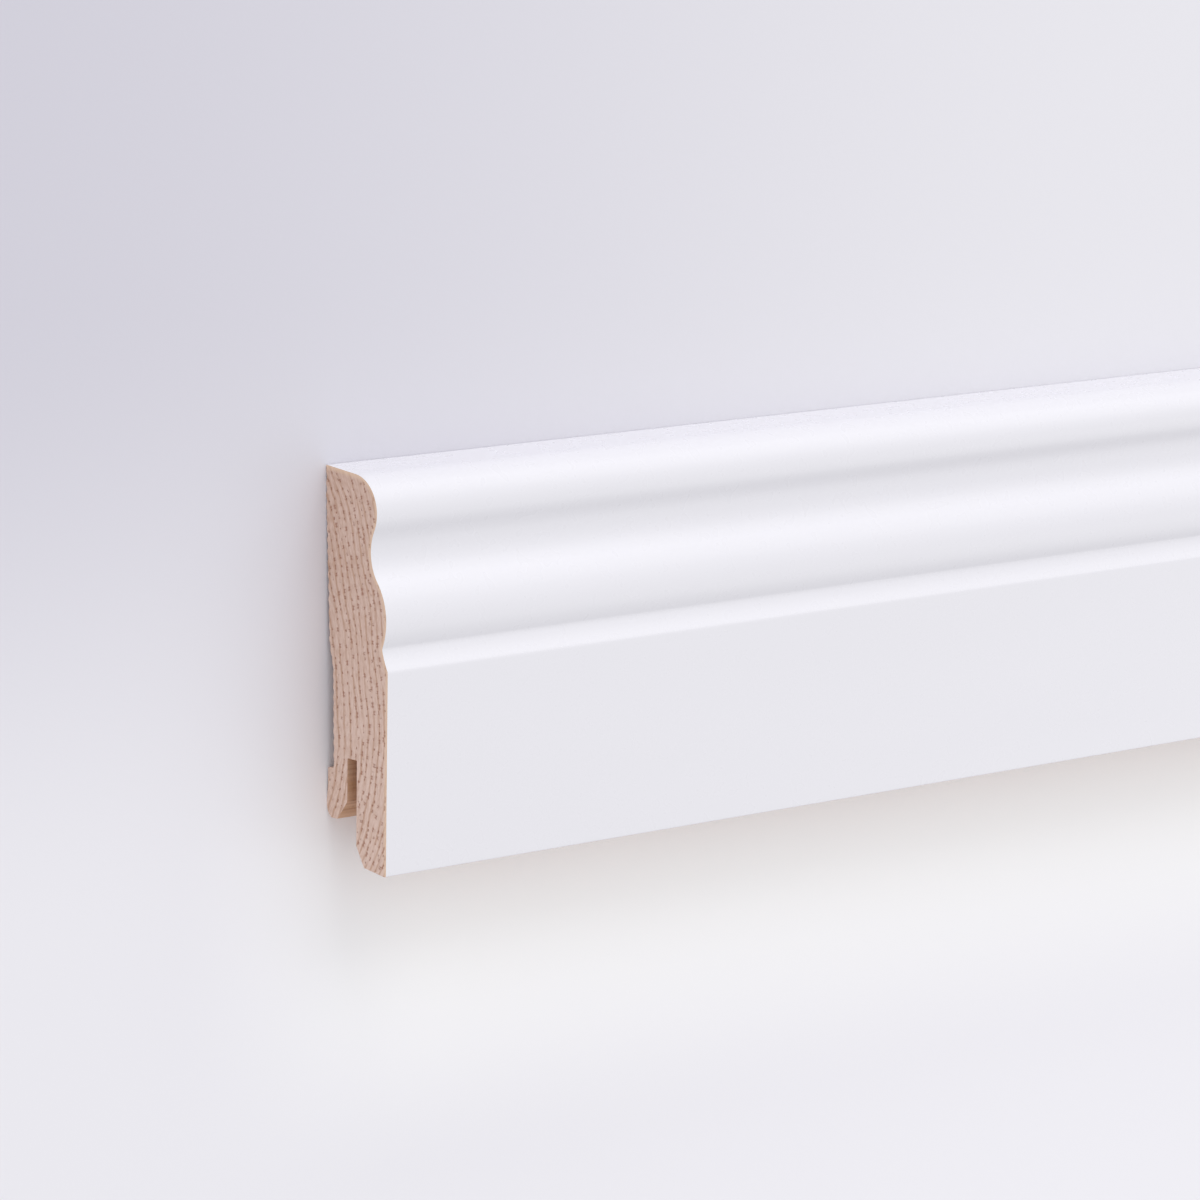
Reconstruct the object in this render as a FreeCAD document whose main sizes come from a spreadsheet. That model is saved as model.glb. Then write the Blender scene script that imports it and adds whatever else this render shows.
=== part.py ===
# Skirting board length, moulded from one piece of hardwood, modelled lying on its back
# X runs along the length, Y from the foot up to the top edge, Z from the wall side to the face.
import FreeCAD, Part
import math
import os
import Sketcher
from FreeCAD import Vector

# Driving sizes in millimetres, angles in degrees
SIZES = [
    # blank
    ("board_length", 2500),
    ("board_height", 80),
    ("board_thickness", 20),
    # moulded face, drops measured down from the top edge
    ("top_fall", 4.3),
    ("nose_radius", 7.3),
    ("cove_radius", 9.1),
    ("cove_drop", 15.5),
    ("belly_radius", 11.8),
    ("belly_drop", 29.1),
    ("belly_setback", 0.6),
    ("valley_drop", 34.5),
    ("valley_radius", 1.2),
    ("hollow_radius", 14),
    ("flat_drop", 38.7),
    # wall side, heights measured up from the foot
    ("land_width", 6),
    ("land_taper", 2.7),
    ("shoulder_height", 44.2),
    ("shoulder_run", 4.5),
    ("relief_depth", 2.6),
    ("relief_taper", 1.2),
    # lip that carries the fixing clip
    ("lip_step_height", 19.3),
    ("lip_waist_setback", 1.3),
    ("lip_waist_height", 16),
    ("lip_crown_setback", 0.93),
    ("lip_crown_height", 12),
    ("lip_crown_radius", 3.4),
    ("lip_under_height", 9.2),
    # clip groove and cable rebate
    ("leg_thickness", 9.5),
    ("groove_width", 3),
    ("groove_height", 22.05),
    ("mouth_width", 3.1),
    ("mouth_height", 4),
    # foot
    ("foot_undercut", 6.2),
    ("foot_chamfer_width", 2.5),
    ("foot_chamfer_height", 4.8),
    # softened arrises
    ("arris_radius", 0.4),
    # how far each cutter runs past the blank
    ("cutter_runout", 5),
]

doc = FreeCAD.newDocument("skirting_board_length")

sheet = doc.addObject("Spreadsheet::Sheet", "Sizes")
for row, (alias, number) in enumerate(SIZES, start=1):
    sheet.set(f"A{row}", alias)
    sheet.set(f"B{row}", str(number))
    sheet.setAlias(f"B{row}", alias)
doc.recompute()

# Places that several cutters share, each written once in terms of the sheet
BACK = "0"
FACE = "Sizes.board_thickness"
TOP = "Sizes.board_height"
FOOT = "0"
LEG_BACK = "Sizes.board_thickness - Sizes.leg_thickness"
GROOVE_BACK = f"{LEG_BACK} - Sizes.groove_width"
MOUTH_BACK = f"{GROOVE_BACK} - Sizes.mouth_width"
MOUTH_TOP = "Sizes.lip_under_height + Sizes.mouth_height"
LAND_END = "Sizes.board_height - Sizes.land_width"
PAST_FOOT = "-Sizes.cutter_runout"
PAST_BACK = "-Sizes.cutter_runout"


def size(alias):
    """One driving size as a number."""
    return float(sheet.get(alias))


def origin_plane(body, role):
    """The body's own origin plane with this role."""
    for feature in body.Origin.OriginFeatures:
        if feature.Role == role:
            return feature
    raise LookupError(role)


def section_sketch(body, name):
    """A sketch across the board: its first axis is height, its second is depth from the wall."""
    sketch = body.newObject("Sketcher::SketchObject", name)
    sketch.AttachmentSupport = [(origin_plane(body, "YZ_Plane"), "")]
    sketch.MapMode = "FlatFace"
    return sketch


def value_of(sketch, expression):
    """What an expression on the sheet comes to."""
    value = sketch.evalExpression(expression)
    return float(getattr(value, "Value", value))


def bind(sketch, constraint, expression):
    """Adds a constraint whose size follows the sheet."""
    index = sketch.addConstraint(constraint)
    sketch.setExpression(f"Constraints[{index}]", expression)


def pin(sketch, edge, end, height, depth):
    """Places one end (1 or 2) or the centre (3) of an edge from the foot and the wall side."""
    for kind, expression in (("DistanceX", height), ("DistanceY", depth)):
        number = value_of(sketch, expression)
        bind(sketch, Sketcher.Constraint(kind, -1, 1, edge, end, number), expression)


def pinned_outline(sketch, corners):
    """A closed outline of straight lines through corners given as pairs of expressions."""
    points = [Vector(value_of(sketch, u), value_of(sketch, d), 0) for u, d in corners]
    count = len(points)
    edges = [sketch.addGeometry(Part.LineSegment(points[i], points[(i + 1) % count]), False)
             for i in range(count)]
    for i, edge in enumerate(edges):
        sketch.addConstraint(Sketcher.Constraint("Coincident", edge, 2, edges[(i + 1) % count], 1))
        pin(sketch, edge, 1, *corners[i])


def arc_between(centre, radius, first, last):
    """An arc drawn anticlockwise from the direction of one point to that of another."""
    angles = [math.atan2(p.y - centre.y, p.x - centre.x) for p in (first, last)]
    return Part.ArcOfCircle(Part.Circle(centre, Vector(0, 0, 1), radius), *angles)


def pad_along_board(body, sketch, name):
    """Runs a section along the whole length, half to each side of the middle."""
    pad = body.newObject("PartDesign::Pad", name)
    pad.Profile = sketch
    pad.SideType = "Symmetric"
    pad.setExpression("Length", "Sizes.board_length")
    return pad


def cut_along_board(body, sketch, name):
    """Runs a cutter along the whole length and tests that it took wood away."""
    doc.recompute()
    before = body.Shape.Volume
    pocket = body.newObject("PartDesign::Pocket", name)
    pocket.Profile = sketch
    pocket.SideType = "Symmetric"
    pocket.Type = "Length"
    pocket.setExpression("Length", "Sizes.board_length + 2 * Sizes.cutter_runout")
    doc.recompute()
    if not body.Shape.Volume < before:
        raise RuntimeError(f"{name} cuts nothing")


def on_tangent_height(height, centre, reach):
    """The point in front of a centre at a given height and distance, where a touching arc is centred."""
    return Vector(height, centre.y + math.sqrt(reach ** 2 - (height - centre.x) ** 2), 0)


def moulded_section(body):
    """Foot, face, hollow, valley, belly, cove, nose, top and straight back as one closed section."""
    sketch = section_sketch(body, "face_section")
    top, face = size("board_height"), size("board_thickness")
    hollow_r, valley_r, belly_r = size("hollow_radius"), size("valley_radius"), size("belly_radius")
    cove_r, nose_r = size("cove_radius"), size("nose_radius")
    fall = math.radians(size("top_fall"))
    up_the_top = Vector(math.cos(fall), math.sin(fall), 0)
    down_the_top = Vector(-math.sin(fall), math.cos(fall), 0)

    # each arc touches the next, so the centres follow from the belly's, the arris and the sloping top
    belly = Vector(top - size("belly_drop"), face - size("belly_setback") - belly_r, 0)
    cove = on_tangent_height(top - size("cove_drop"), belly, belly_r + cove_r)
    valley = on_tangent_height(top - size("valley_drop"), belly, belly_r + valley_r)
    arris = Vector(top - size("flat_drop"), face, 0)
    hollow = hollow_centre(arris, hollow_r, valley, valley_r)
    under_top = Vector(top, 0, 0) - up_the_top * nose_r
    along = (cove - under_top).dot(down_the_top)
    off = (cove - under_top).dot(up_the_top)
    nose = under_top + down_the_top * (along - math.sqrt((cove_r + nose_r) ** 2 - off ** 2))

    foot_back, foot_face, top_back = Vector(0, 0, 0), Vector(0, face, 0), Vector(top, 0, 0)
    hollow_to_valley = hollow + (valley - hollow) * (hollow_r / (hollow_r - valley_r))
    valley_to_belly = belly + (valley - belly) * (belly_r / (belly_r + valley_r))
    belly_to_cove = belly + (cove - belly) * (belly_r / (belly_r + cove_r))
    cove_to_nose = cove + (nose - cove) * (cove_r / (cove_r + nose_r))
    nose_to_top = nose + up_the_top * nose_r

    edges = [sketch.addGeometry(shape, False) for shape in (
        Part.LineSegment(foot_back, foot_face),
        Part.LineSegment(foot_face, arris),
        arc_between(hollow, hollow_r, arris, hollow_to_valley),
        arc_between(valley, valley_r, hollow_to_valley, valley_to_belly),
        arc_between(belly, belly_r, belly_to_cove, valley_to_belly),
        arc_between(cove, cove_r, belly_to_cove, cove_to_nose),
        arc_between(nose, nose_r, nose_to_top, cove_to_nose),
        Part.LineSegment(nose_to_top, top_back),
        Part.LineSegment(top_back, foot_back),
    )]
    foot, flat, hollow_edge, valley_edge, belly_edge, cove_edge, nose_edge, top_edge, back = edges

    for first, first_end, last, last_end in (
        (foot, 2, flat, 1),
        (flat, 2, hollow_edge, 1),
        (top_edge, 2, back, 1),
        (back, 2, foot, 1),
    ):
        sketch.addConstraint(Sketcher.Constraint("Coincident", first, first_end, last, last_end))
    for first, first_end, last, last_end in (
        (hollow_edge, 2, valley_edge, 1),
        (valley_edge, 2, belly_edge, 2),
        (belly_edge, 1, cove_edge, 1),
        (cove_edge, 2, nose_edge, 2),
        (nose_edge, 1, top_edge, 1),
    ):
        sketch.addConstraint(Sketcher.Constraint("Tangent", first, first_end, last, last_end))

    pin(sketch, foot, 1, FOOT, BACK)
    pin(sketch, foot, 2, FOOT, FACE)
    pin(sketch, top_edge, 2, TOP, BACK)
    pin(sketch, flat, 2, f"{TOP} - Sizes.flat_drop", FACE)
    pin(sketch, belly_edge, 3, f"{TOP} - Sizes.belly_drop",
        f"{FACE} - Sizes.belly_setback - Sizes.belly_radius")
    for edge, drop in ((valley_edge, "valley_drop"), (cove_edge, "cove_drop")):
        height = f"{TOP} - Sizes.{drop}"
        bind(sketch, Sketcher.Constraint("DistanceX", -1, 1, edge, 3, value_of(sketch, height)), height)
    for edge, alias in (
        (hollow_edge, "hollow_radius"),
        (valley_edge, "valley_radius"),
        (belly_edge, "belly_radius"),
        (cove_edge, "cove_radius"),
        (nose_edge, "nose_radius"),
    ):
        bind(sketch, Sketcher.Constraint("Radius", edge, size(alias)), f"Sizes.{alias}")
    bind(sketch, Sketcher.Constraint("Angle", top_edge, 2, back, 1, math.pi / 2 - fall),
         "90 deg - Sizes.top_fall * 1 deg")
    return sketch


def hollow_centre(arris, hollow_r, valley, valley_r):
    """Centre of the arc through the face's arris that runs smoothly into the valley's arc."""
    gap = valley - arris
    reach = hollow_r - valley_r
    along = (gap.Length ** 2 + hollow_r ** 2 - reach ** 2) / (2 * gap.Length)
    forward = Vector(gap).normalize()
    outward = Vector(-forward.y, forward.x, 0)
    return arris + forward * along + outward * math.sqrt(hollow_r ** 2 - along ** 2)


def back_relief(body):
    """Wall side above the lip: flat land, taper, shoulder, hollowed relief, stepped lip and its crown."""
    sketch = section_sketch(body, "back_section")
    land_end = (LAND_END, BACK)
    shoulder_depth = f"({LAND_END} - Sizes.shoulder_height) * tan(Sizes.land_taper * 1 deg)"
    shoulder = ("Sizes.shoulder_height", shoulder_depth)
    relief_start = ("Sizes.shoulder_height - Sizes.shoulder_run", "Sizes.relief_depth")
    relief_length = f"({relief_start[0]} - Sizes.lip_step_height)"
    step_foot = ("Sizes.lip_step_height",
                 f"Sizes.relief_depth + {relief_length} * tan(Sizes.relief_taper * 1 deg)")
    step_edge = ("Sizes.lip_step_height", "Sizes.lip_waist_setback")
    waist = ("Sizes.lip_waist_height", "Sizes.lip_waist_setback")
    crown = ("Sizes.lip_crown_height", "Sizes.lip_crown_setback")
    under_edge = ("Sizes.lip_under_height", PAST_BACK)
    outside = (LAND_END, PAST_BACK)

    def point(corner):
        return Vector(value_of(sketch, corner[0]), value_of(sketch, corner[1]), 0)

    crown_r = size("lip_crown_radius")
    centre = point(crown) + Vector(0, crown_r, 0)
    under_off = size("lip_under_height") - centre.x
    arc_end = centre + Vector(under_off, -math.sqrt(crown_r ** 2 - under_off ** 2), 0)
    corners = [under_edge, outside, land_end, shoulder, relief_start, step_foot, step_edge, waist]
    places = [point(corner) for corner in corners]
    lines = [sketch.addGeometry(Part.LineSegment(a, b), False)
             for a, b in zip(places, places[1:] + [point(crown)])]
    arc = sketch.addGeometry(arc_between(centre, crown_r, arc_end, point(crown)), False)
    last = sketch.addGeometry(Part.LineSegment(arc_end, places[0]), False)

    for first, second in zip([last] + lines[:-1], lines):
        sketch.addConstraint(Sketcher.Constraint("Coincident", first, 2, second, 1))
    for line, corner in zip(lines, corners):
        pin(sketch, line, 1, *corner)
    sketch.addConstraint(Sketcher.Constraint("Tangent", lines[-1], 2, arc, 2))
    sketch.addConstraint(Sketcher.Constraint("Coincident", arc, 1, last, 1))
    sketch.addConstraint(Sketcher.Constraint("Vertical", last))
    pin(sketch, arc, 3, crown[0], f"{crown[1]} + Sizes.lip_crown_radius")
    bind(sketch, Sketcher.Constraint("Radius", arc, crown_r), "Sizes.lip_crown_radius")
    cut_along_board(body, sketch, "back_relief")


def cable_rebate(body):
    """The open corner behind the leg, under the lip, with a slanted mouth that leads up to the groove."""
    sketch = section_sketch(body, "rebate_section")
    pinned_outline(sketch, [
        (PAST_FOOT, PAST_BACK),
        ("Sizes.lip_under_height", PAST_BACK),
        ("Sizes.lip_under_height", MOUTH_BACK),
        (MOUTH_TOP, GROOVE_BACK),
        (MOUTH_TOP, LEG_BACK),
        (PAST_FOOT, LEG_BACK),
    ])
    cut_along_board(body, sketch, "cable_rebate")


def clip_groove(body):
    """The narrow groove, open towards the foot, that slides down over wall clips."""
    sketch = section_sketch(body, "groove_section")
    pinned_outline(sketch, [
        ("Sizes.lip_under_height", GROOVE_BACK),
        ("Sizes.groove_height", GROOVE_BACK),
        ("Sizes.groove_height", LEG_BACK),
        ("Sizes.lip_under_height", LEG_BACK),
    ])
    cut_along_board(body, sketch, "clip_groove")


def foot_relief(body):
    """Underside cut away behind the front edge and chamfered off behind the leg."""
    sketch = section_sketch(body, "foot_section")
    heel_depth = f"{LEG_BACK} + Sizes.foot_chamfer_width"
    heel = "(Sizes.leg_thickness - Sizes.foot_chamfer_width) * tan(Sizes.foot_undercut * 1 deg)"
    pinned_outline(sketch, [
        (FOOT, FACE),
        (heel, heel_depth),
        ("Sizes.foot_chamfer_height", LEG_BACK),
        (PAST_FOOT, LEG_BACK),
        (PAST_FOOT, FACE),
    ])
    cut_along_board(body, sketch, "foot_relief")


def long_edges(body, sketch, corners):
    """Names of the edges that run along the board through the given corners of its section."""
    places = [(value_of(sketch, height), value_of(sketch, depth)) for height, depth in corners]
    names = []
    for place in places:
        found = [f"Edge{number}" for number, edge in enumerate(body.Shape.Edges, start=1)
                 if all(math.hypot(v.Y - place[0], v.Z - place[1]) < 1e-4 for v in edge.Vertexes)
                 and edge.Length > size("board_length") / 2]
        if len(found) != 1:
            raise RuntimeError(f"{len(found)} edges at {place}")
        names += found
    return names


def soften(body, sketch, name, corners, alias):
    """Rounds long edges to one of the sheet's radii."""
    last_cut = body.Tip
    names = long_edges(body, sketch, corners)
    fillet = body.newObject("PartDesign::Fillet", name)
    fillet.Base = (last_cut, names)
    fillet.setExpression("Radius", f"Sizes.{alias}")
    body.Tip = fillet
    doc.recompute()


def resting_tilt():
    """How far the board leans once it lies on its upper land's edge and the lip's crown, in degrees."""
    run = size("board_height") - size("land_width") - size("lip_crown_height")
    rise = size("lip_crown_setback") + size("lip_crown_radius")
    lean = math.atan2(rise, run) - math.asin(size("lip_crown_radius") / math.hypot(run, rise))
    return math.degrees(lean)


def skirting_board():
    """The whole board, section first and then each cutter, laid down as it rests."""
    body = doc.addObject("PartDesign::Body", "skirting_board")
    body.Label = "skirting_board"
    section = moulded_section(body)
    pad_along_board(body, section, "moulded_blank")
    back_relief(body)
    cable_rebate(body)
    clip_groove(body)
    foot_relief(body)
    soften(body, section, "soft_arrises", [
        (TOP, BACK),
        (FOOT, FACE),
        (f"{TOP} - Sizes.flat_drop", FACE),
        ("Sizes.lip_step_height", "Sizes.lip_waist_setback"),
        ("Sizes.lip_under_height", MOUTH_BACK),
    ], "arris_radius")
    body.Placement.Rotation = FreeCAD.Rotation(Vector(1, 0, 0), resting_tilt())
    doc.recompute()
    box = body.Shape.BoundBox
    body.Placement.Base = Vector(0, -box.Center.y, -box.ZMin)
    doc.recompute()
    return body


def check_document(pieces):
    """Stops before anything is written where an object failed or a piece is not one sound solid."""
    for item in doc.Objects:
        if {"Invalid", "Error"} & set(item.State):
            raise RuntimeError(f"{item.Name}: {item.State}")
    for piece in pieces:
        if piece.Shape.isNull() or not piece.Shape.isValid() or len(piece.Shape.Solids) != 1:
            raise RuntimeError(f"{piece.Label} is not one sound solid")


pieces = [skirting_board()]
check_document(pieces)
os.makedirs("parts", exist_ok=True)
for piece in pieces:
    piece.Shape.exportStep(f"parts/{piece.Label}.step")
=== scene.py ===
"""A length of white lacquered hardwood skirting board, lying on its back on a pale studio floor.

The board is one moulded section carried along its length. Its sawn ends show the hardwood's growth
rings and pores, and its back, foot, lip and clip groove are left as bare machined wood.
"""

import math
from functools import partial

import bpy
import numpy as np
from bpy.props import FloatProperty, FloatVectorProperty, IntProperty, PointerProperty
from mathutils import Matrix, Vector
from mathutils.geometry import delaunay_2d_cdt


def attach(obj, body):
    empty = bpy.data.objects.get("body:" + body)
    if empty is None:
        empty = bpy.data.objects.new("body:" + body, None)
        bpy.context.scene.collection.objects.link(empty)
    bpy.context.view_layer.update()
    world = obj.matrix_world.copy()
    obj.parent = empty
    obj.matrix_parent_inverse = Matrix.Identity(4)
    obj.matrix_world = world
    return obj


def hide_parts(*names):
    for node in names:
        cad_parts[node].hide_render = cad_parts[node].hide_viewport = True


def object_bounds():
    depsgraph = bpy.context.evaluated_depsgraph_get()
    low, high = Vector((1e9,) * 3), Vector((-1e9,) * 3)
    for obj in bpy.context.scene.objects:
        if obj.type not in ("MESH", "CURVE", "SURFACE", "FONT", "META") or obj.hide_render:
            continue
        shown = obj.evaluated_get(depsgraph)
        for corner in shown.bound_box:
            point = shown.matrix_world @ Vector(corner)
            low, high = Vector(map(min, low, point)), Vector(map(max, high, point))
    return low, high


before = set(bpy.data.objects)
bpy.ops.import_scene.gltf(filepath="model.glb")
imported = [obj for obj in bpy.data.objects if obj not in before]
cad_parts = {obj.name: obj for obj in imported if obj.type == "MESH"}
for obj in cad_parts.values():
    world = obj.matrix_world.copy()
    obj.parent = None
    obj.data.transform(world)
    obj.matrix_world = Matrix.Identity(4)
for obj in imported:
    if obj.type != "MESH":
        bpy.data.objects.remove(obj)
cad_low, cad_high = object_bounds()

bl_info = {
    "name": "Skirting board length",
    "version": (1, 0, 0),
    "blender": (4, 5, 0),
    "location": "3D View > Sidebar > Skirting",
    "description": "Builds a lacquered hardwood skirting board length and its studio stage",
    "category": "Object",
}

MM = 0.001
BOARD_NODE = "skirting_board"
BOARD_PIECE = "skirting_board_dressed"
LACQUER, PLANED, SAWN_AND_SHADE, END_GRAIN = range(4)
# Points that are compared with others at a time, so that the tables stay small
AT_ONCE = 2000


def linear(hex_colour):
    """Turns an sRGB hex colour such as "ECEBF1" into linear red, green and blue with a full alpha."""
    channels = [int(hex_colour[i : i + 2], 16) / 255 for i in (0, 2, 4)]
    turned = [c / 12.92 if c <= 0.04045 else ((c + 0.055) / 1.055) ** 2.4 for c in channels]
    return (*turned, 1.0)


def length(name, description, millimetres):
    """A length property whose default is given in millimetres."""
    default = millimetres * MM
    return FloatProperty(name=name, description=description, default=default, unit="LENGTH", precision=5)


def angle(name, description, degrees):
    """An angle property whose default is given in degrees."""
    return FloatProperty(name=name, description=description, default=math.radians(degrees), subtype="ANGLE")


def colour(name, description, hex_colour):
    """A colour property whose default is given as an sRGB hex value."""
    default = linear(hex_colour)
    return FloatVectorProperty(
        name=name, description=description, default=default, size=4, subtype="COLOR", min=0, max=1
    )


class MouldedSection(bpy.types.PropertyGroup):
    """The sizes of the section: heights from the foot, drops from the top, setbacks from the wall."""

    board_height: length("Height", "From the foot to the back top edge", 80)
    board_thickness: length("Thickness", "From the wall plane to the face", 20)
    top_fall: angle("Top fall", "Slope of the top down towards the face", 4.3)
    nose_radius: length("Nose radius", "Rounded upper front edge", 7.3)
    cove_radius: length("Cove radius", "Hollow sweep under the nose", 9.1)
    cove_drop: length("Cove drop", "From the top down to the cove's centre", 15.5)
    belly_radius: length("Belly radius", "Round below the cove", 11.8)
    belly_drop: length("Belly drop", "From the top down to the belly's centre", 29.1)
    belly_setback: length("Belly setback", "From the face plane back to the belly's crest", 0.6)
    valley_radius: length("Valley radius", "Small round where the belly meets the hollow", 1.2)
    valley_drop: length("Valley drop", "From the top down to the valley's centre", 34.5)
    hollow_radius: length("Hollow radius", "Shallow hollow that runs out to the face", 14)
    flat_drop: length("Flat drop", "From the top down to where the flat face starts", 38.7)
    land_width: length("Land width", "Top strip of the back that touches the wall", 6)
    land_taper: angle("Land taper", "Slope of the back below the land", 2.7)
    shoulder_height: length("Shoulder height", "Where the back steps into its relief", 44.2)
    shoulder_run: length("Shoulder run", "Height of the slope into the relief", 4.5)
    relief_depth: length("Relief depth", "Depth of the relief at its top", 2.6)
    relief_taper: angle("Relief taper", "Slope of the relief's floor", 1.2)
    lip_step_height: length("Lip step height", "Top of the lip that the fixing clip hooks on", 19.3)
    lip_waist_setback: length("Lip waist setback", "Upper flat of the lip from the wall", 1.3)
    lip_waist_height: length("Lip waist height", "Lower end of the lip's flat", 16)
    lip_crown_setback: length("Lip crown setback", "The lip's round from the wall", 0.93)
    lip_crown_height: length("Lip crown height", "Centre of the lip's round", 12)
    lip_crown_radius: length("Lip crown radius", "The lip's round", 3.4)
    lip_under_height: length("Lip underside height", "Underside of the lip", 9.2)
    leg_thickness: length("Leg thickness", "Front leg below the groove", 9.5)
    groove_width: length("Groove width", "Groove for the fixing clip", 3)
    groove_height: length("Groove height", "Closed end of the groove", 22.05)
    mouth_width: length("Mouth width", "Slope that opens the groove, across", 3.1)
    mouth_height: length("Mouth height", "Slope that opens the groove, upwards", 4)
    foot_undercut: angle("Foot undercut", "Slope of the foot's underside", 6.2)
    foot_chamfer_width: length("Foot chamfer width", "Cut on the back of the foot, across", 2.5)
    foot_chamfer_height: length("Foot chamfer height", "Top of the cut on the back of the foot", 4.8)
    arris_radius: length("Arris radius", "Long edges that are eased", 0.4)
    sharp_arris_radius: length("Sharp arris radius", "Long edges left as the cutter leaves them", 0.15)
    lacquer_wrap: length("Lacquer wrap", "How far the lacquer runs down the back from the top edge", 0.5)
    rib_pitch: length("Rib pitch", "Fine ribs that the toothed cutter leaves on the back", 2.4)
    rib_depth: length("Rib depth", "Depth of those ribs", 0.34)
    resting_lean: angle("Resting lean", "Turn that lays the land and the lip on the floor", 0.8590191554)
    resting_along: length("Resting place", "The foot's corner at the wall plane, along the floor", -39.85288)
    resting_above: length("Resting height", "The foot's corner at the wall plane, above the floor", -1.10942)


class HardwoodLook(bpy.types.PropertyGroup):
    """The colours of the lacquer and the bare wood, and how its rings and pores lie."""

    lacquer: colour("Lacquer", "Satin white lacquer", "E3E2E8")
    wood_pale: colour("Pale wood", "Fibre between the rows of pores", "E5CBBE")
    wood_deep: colour("Deep wood", "Fibre beside the rows of pores", "C6A28D")
    pore: colour("Pore", "Inside of the open pores", "A67763")
    rim: colour("Rim", "Wood under the edge of the lacquer", "EBCCAF")
    # Also painted shade on the slope that opens the groove.
    groove: colour("Groove", "Wood browned by the grooving saw", "C89D78")
    pith_height: length("Pith height", "Centre of the growth rings above the foot", 28)
    pith_behind: length("Pith behind", "Centre of the growth rings behind the wall plane", 100)
    ring_back: length("Ring width at the back", "Distance between rows of pores at the back", 2.1)
    ring_front: length("Ring width at the nose", "Distance between rows of pores at the nose", 1.45)
    ring_reach: length("Ring reach", "Distance over which the rings narrow", 27)
    ring_lean: FloatProperty(
        name="Ring lean", description="How fast the rings lean over near the foot, per metre", default=8.5
    )
    ring_lean_height: length("Ring lean height", "Height below which the rings lean over", 21)
    pore_step: length("Pore step", "Distance between pores along a row", 1.8)
    pore_length: length("Pore length", "Half of a pore's length along its row", 0.42)
    pore_width: length("Pore width", "Half of a pore's width across its row", 0.22)
    pore_depth: length("Pore depth", "Depth of the open pores in a sawn end", 0.14)
    seed: IntProperty(name="Seed", description="Another seed gives another piece of wood", default=7, min=0)


class StudioLook(bpy.types.PropertyGroup):
    """The camera, floor and lamps."""

    focal_length: FloatProperty(
        name="Focal length", description="In millimetres on a 36 mm sensor", default=170.945
    )
    camera_place: FloatVectorProperty(
        name="Camera place",
        description="Above and beyond the near end, on the top edge's side",
        default=(-1.935917, 0.198725, 0.879887),
        subtype="TRANSLATION",
    )
    camera_turn: FloatVectorProperty(
        name="Camera turn",
        description="Rolled so that the board's top edge is up in the picture",
        default=[math.radians(degrees) for degrees in (-9.7226, -40.67156, 0.42303)],
        subtype="EULER",
    )
    # The floor's tones hold painted light and shade: painted shade past the near end and behind the top edge,
    # and painted light in front of the foot, where it lifts the board's shadow.
    floor_foot: colour("Floor at the foot", "Floor on the side of the board's foot", "ECEBF1")
    floor_top: colour("Floor at the top", "Floor on the side of the board's top edge", "E4E3E9")
    floor_corner_shade: colour("Floor past the foot", "Floor beyond the near end, on the foot's side", "E6E5EB")
    floor_painted_shade: colour("Floor past the top", "Floor beyond the near end, on the top edge's side", "CDCBD6")
    floor_painted_light: colour("Floor in front", "Whitest part of the paper, in front of the board's foot", "FDFDFF")
    surround: FloatProperty(name="Surround", description="Strength of the pale surround", default=0.846)
    edge_strength: FloatProperty(
        name="Edge lamp",
        description="Broad lamp on the top edge's side, in watts per square metre",
        default=1.03,
    )
    gloss_strength: FloatProperty(
        name="Gloss lamp",
        description="Broad lamp turned towards the far end, in watts per square metre",
        default=0.19,
    )
    far_power: FloatProperty(name="Far lamp", description="Soft lamp past the far end, in watts", default=5.2)


# The section

def across(point, other):
    """The distance between two points of the section."""
    return math.hypot(other[0] - point[0], other[1] - point[1])


def towards(start, aim, distance):
    """The point that lies a distance from start on the way to aim."""
    share = distance / across(start, aim)
    return (start[0] + (aim[0] - start[0]) * share, start[1] + (aim[1] - start[1]) * share)


def circles_meet(first, first_radius, second, second_radius):
    """The two points where two circles cross, the one nearer the wall first."""
    gap = across(first, second)
    reach = (gap**2 + first_radius**2 - second_radius**2) / (2 * gap)
    half = math.sqrt(first_radius**2 - reach**2)
    middle = towards(first, second, reach)
    aside = ((second[1] - first[1]) / gap * half, -(second[0] - first[0]) / gap * half)
    found = [(middle[0] + side * aside[0], middle[1] + side * aside[1]) for side in (1, -1)]
    return sorted(found, key=lambda point: point[1])


def straight(start, end, step):
    """Even points on the line from start to end, without its last one."""
    count = max(2, math.ceil(across(start, end) / step))
    share = np.arange(count)[:, None] / count
    return np.array(start) * (1 - share) + np.array(end) * share


def swept(centre, start, end, step):
    """Even points on the arc round a centre from start to end, the shorter way, without its last one."""
    radius = across(centre, start)
    first = math.atan2(start[1] - centre[1], start[0] - centre[0])
    turn = math.remainder(math.atan2(end[1] - centre[1], end[0] - centre[0]) - first, 2 * math.pi)
    count = max(4, math.ceil(abs(turn) * radius / step))
    around = first + turn * np.arange(count) / count
    return np.stack([centre[0] + radius * np.cos(around), centre[1] + radius * np.sin(around)], axis=1)


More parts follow.
